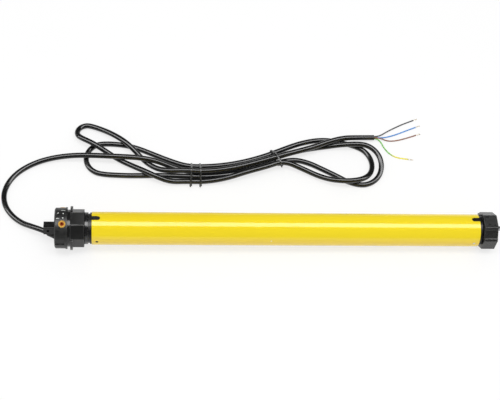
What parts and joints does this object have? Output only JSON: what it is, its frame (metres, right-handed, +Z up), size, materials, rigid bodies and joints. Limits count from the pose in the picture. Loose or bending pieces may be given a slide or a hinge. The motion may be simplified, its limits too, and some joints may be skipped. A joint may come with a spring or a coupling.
{
  "type": "tubular roller blind motor",
  "caption": "Tubular roller blind motor with square bracket stub, turning crown and drive wheel at its ends, hidden gearing and brake, and its mains cable bundled in a hank.",
  "frame": {"origin": "centre of the square stub's end face", "axes": "+X along the motor from the stub to the drive wheel, +Y away from the pictured front, +Z up"},
  "size_m": [0.5398, 0.1863, 0.0447],
  "materials": {
    "head_plastic": "satin",
    "ring_plastic": "gloss",
    "black_steel": "satin",
    "zinc_steel": "satin",
    "shaft_steel": "satin",
    "machine_steel": "satin",
    "gland_rubber": "matte",
    "bush_orange": "gloss",
    "screw_red": "gloss",
    "tube_yellow": "gloss",
    "gear_nylon": "satin",
    "switch_plastic": "satin",
    "plunger_plastic": "satin",
    "capacitor_case": "satin",
    "shield_metal": "satin",
    "bush_bronze": "satin",
    "core_steel": "matte",
    "winding_copper": "gloss",
    "brake_lining": "matte",
    "gearbox_plastic": "satin",
    "planet_steel": "satin",
    "cable_jacket": "gloss",
    "tie_wire": "satin",
    "core_black": "satin",
    "core_blue": "satin",
    "core_brown": "satin",
    "core_earth": "satin"
  },
  "bodies": {
    "motor": {"bracket_stub": "black_steel", "brake_coil": "winding_copper", "brake_pot": "core_steel", "brake_spring": "machine_steel", "cable_gland": "gland_rubber", "cable_hank": "cable_jacket", "cable_ties": "tie_wire", "capacitor": "capacitor_case", "capacitor_holder": "gear_nylon", "core_black": "core_black", "core_blue": "core_blue", "core_brown": "core_brown", "core_earth": "core_earth", "crown_retainer": "ring_plastic", "front_plug": "head_plastic", "front_shield": "shield_metal", "gearbox_cap": "gearbox_plastic", "gearbox_housing": "gearbox_plastic", "head_body": "head_plastic", "limit_bushes": "bush_orange", "limit_cage": "gear_nylon", "limit_switches": "switch_plastic", "motor_tube": "tube_yellow", "power_cable": "cable_jacket", "rear_plug": "head_plastic", "rear_shield": "shield_metal", "shaft_bushes": "bush_bronze", "stator_core": "core_steel", "stator_winding": "winding_copper", "stub_screws": "black_steel", "tube_pins": "zinc_steel"},
    "output": {"output_shaft": "shaft_steel", "planet_pins_3": "machine_steel", "drive_wheel": "head_plastic", "wheel_clip": "shaft_steel"},
    "second_carrier": {"carrier_2": "machine_steel", "planet_pins_2": "machine_steel"},
    "first_carrier": {"carrier_1": "machine_steel", "planet_pins_1": "machine_steel"},
    "rotor": {"rotor_core": "shield_metal", "rotor_shaft": "machine_steel", "brake_disc": "brake_lining"},
    "crown": {"crown": "head_plastic"},
    "armature": {"brake_armature": "core_steel"},
    "planet_1_1": {"planet_1_1": "planet_steel"},
    "planet_1_2": {"planet_1_2": "planet_steel"},
    "planet_1_3": {"planet_1_3": "planet_steel"},
    "planet_2_1": {"planet_2_1": "planet_steel"},
    "planet_2_2": {"planet_2_2": "planet_steel"},
    "planet_2_3": {"planet_2_3": "planet_steel"},
    "planet_3_1": {"planet_3_1": "planet_steel"},
    "planet_3_2": {"planet_3_2": "planet_steel"},
    "planet_3_3": {"planet_3_3": "planet_steel"},
    "limit_pinion": {"limit_pinion": "gear_nylon"},
    "counting_wheel_up": {"counting_wheel_up": "gear_nylon"},
    "counting_wheel_down": {"counting_wheel_down": "gear_nylon"},
    "limit_screw_up": {"limit_screw_up": "screw_red"},
    "limit_screw_down": {"limit_screw_down": "screw_red"},
    "switch_plunger_up": {"switch_plunger_up": "plunger_plastic"},
    "switch_plunger_down": {"switch_plunger_down": "plunger_plastic"}
  },
  "joints": [
    {"name": "output_spin", "type": "hinge", "parent": "motor", "child": "output", "pos_m": [0.44, 0, 0], "axis": [1, 0, 0], "continuous": true},
    {"name": "second_carrier_spin", "type": "hinge", "parent": "motor", "child": "second_carrier", "pos_m": [0.37, 0, 0], "axis": [1, 0, 0], "continuous": true},
    {"name": "first_carrier_spin", "type": "hinge", "parent": "motor", "child": "first_carrier", "pos_m": [0.34, 0, 0], "axis": [1, 0, 0], "continuous": true},
    {"name": "rotor_spin", "type": "hinge", "parent": "motor", "child": "rotor", "pos_m": [0.21, 0, 0], "axis": [1, 0, 0], "continuous": true},
    {"name": "crown_spin", "type": "hinge", "parent": "motor", "child": "crown", "pos_m": [0.035, 0, 0], "axis": [1, 0, 0], "continuous": true},
    {"name": "planet_1_1_spin", "type": "hinge", "parent": "first_carrier", "child": "planet_1_1", "pos_m": [0.3242, 0.00825, 0], "axis": [1, 0, 0], "continuous": true},
    {"name": "planet_1_2_spin", "type": "hinge", "parent": "first_carrier", "child": "planet_1_2", "pos_m": [0.3242, -0.00413, 0.00714], "axis": [1, 0, 0], "continuous": true},
    {"name": "planet_1_3_spin", "type": "hinge", "parent": "first_carrier", "child": "planet_1_3", "pos_m": [0.3242, -0.00413, -0.00714], "axis": [1, 0, 0], "continuous": true},
    {"name": "planet_2_1_spin", "type": "hinge", "parent": "second_carrier", "child": "planet_2_1", "pos_m": [0.3522, 0.00825, 0], "axis": [1, 0, 0], "continuous": true},
    {"name": "planet_2_2_spin", "type": "hinge", "parent": "second_carrier", "child": "planet_2_2", "pos_m": [0.3522, -0.00413, 0.00714], "axis": [1, 0, 0], "continuous": true},
    {"name": "planet_2_3_spin", "type": "hinge", "parent": "second_carrier", "child": "planet_2_3", "pos_m": [0.3522, -0.00413, -0.00714], "axis": [1, 0, 0], "continuous": true},
    {"name": "planet_3_1_spin", "type": "hinge", "parent": "output", "child": "planet_3_1", "pos_m": [0.3802, 0.00825, 0], "axis": [1, 0, 0], "continuous": true},
    {"name": "planet_3_2_spin", "type": "hinge", "parent": "output", "child": "planet_3_2", "pos_m": [0.3802, -0.00413, 0.00714], "axis": [1, 0, 0], "continuous": true},
    {"name": "planet_3_3_spin", "type": "hinge", "parent": "output", "child": "planet_3_3", "pos_m": [0.3802, -0.00413, -0.00714], "axis": [1, 0, 0], "continuous": true},
    {"name": "limit_pinion_spin", "type": "hinge", "parent": "motor", "child": "limit_pinion", "pos_m": [0.036, -0.00675, -0.01169], "axis": [1, 0, 0], "continuous": true},
    {"name": "counting_wheel_up_spin", "type": "hinge", "parent": "motor", "child": "counting_wheel_up", "pos_m": [0.033, 0, 0], "axis": [1, 0, 0], "continuous": true},
    {"name": "counting_wheel_down_spin", "type": "hinge", "parent": "motor", "child": "counting_wheel_down", "pos_m": [0.035, 0, 0], "axis": [1, 0, 0], "continuous": true},
    {"name": "limit_screw_up_turn", "type": "hinge", "parent": "motor", "child": "limit_screw_up", "pos_m": [0.0198, 0, 0], "axis": [0, -0.342, 0.9397], "continuous": true},
    {"name": "limit_screw_down_turn", "type": "hinge", "parent": "motor", "child": "limit_screw_down", "pos_m": [0.0198, 0, 0], "axis": [0, 0.9397, 0.342], "continuous": true},
    {"name": "switch_plunger_up_press", "type": "slide", "parent": "motor", "child": "switch_plunger_up", "axis": [0, 0.9397, 0.342], "range_m": [0, 0.00035], "stiffness_N_per_m": 400},
    {"name": "switch_plunger_down_press", "type": "slide", "parent": "motor", "child": "switch_plunger_down", "axis": [0, -0.6428, 0.766], "range_m": [0, 0.00035], "stiffness_N_per_m": 400},
    {"name": "brake_release", "type": "slide", "parent": "motor", "child": "armature", "axis": [-1, 0, 0], "range_m": [0, 0.0005], "stiffness_N_per_m": 800, "deforming": ["brake_spring"]}
  ],
  "couplings": [
    {"joint": "second_carrier_spin", "follows": "output_spin", "ratio": 5},
    {"joint": "first_carrier_spin", "follows": "output_spin", "ratio": 25},
    {"joint": "rotor_spin", "follows": "output_spin", "ratio": 125},
    {"joint": "planet_1_1_spin", "follows": "output_spin", "ratio": -66.667},
    {"joint": "planet_1_2_spin", "follows": "output_spin", "ratio": -66.667},
    {"joint": "planet_1_3_spin", "follows": "output_spin", "ratio": -66.667},
    {"joint": "planet_2_1_spin", "follows": "output_spin", "ratio": -13.333},
    {"joint": "planet_2_2_spin", "follows": "output_spin", "ratio": -13.333},
    {"joint": "planet_2_3_spin", "follows": "output_spin", "ratio": -13.333},
    {"joint": "planet_3_1_spin", "follows": "output_spin", "ratio": -2.6667},
    {"joint": "planet_3_2_spin", "follows": "output_spin", "ratio": -2.6667},
    {"joint": "planet_3_3_spin", "follows": "output_spin", "ratio": -2.6667},
    {"joint": "limit_pinion_spin", "follows": "crown_spin", "ratio": 4.8571},
    {"joint": "counting_wheel_up_spin", "follows": "crown_spin", "ratio": -1.3878},
    {"joint": "counting_wheel_down_spin", "follows": "crown_spin", "ratio": -1.4216}
  ]
}
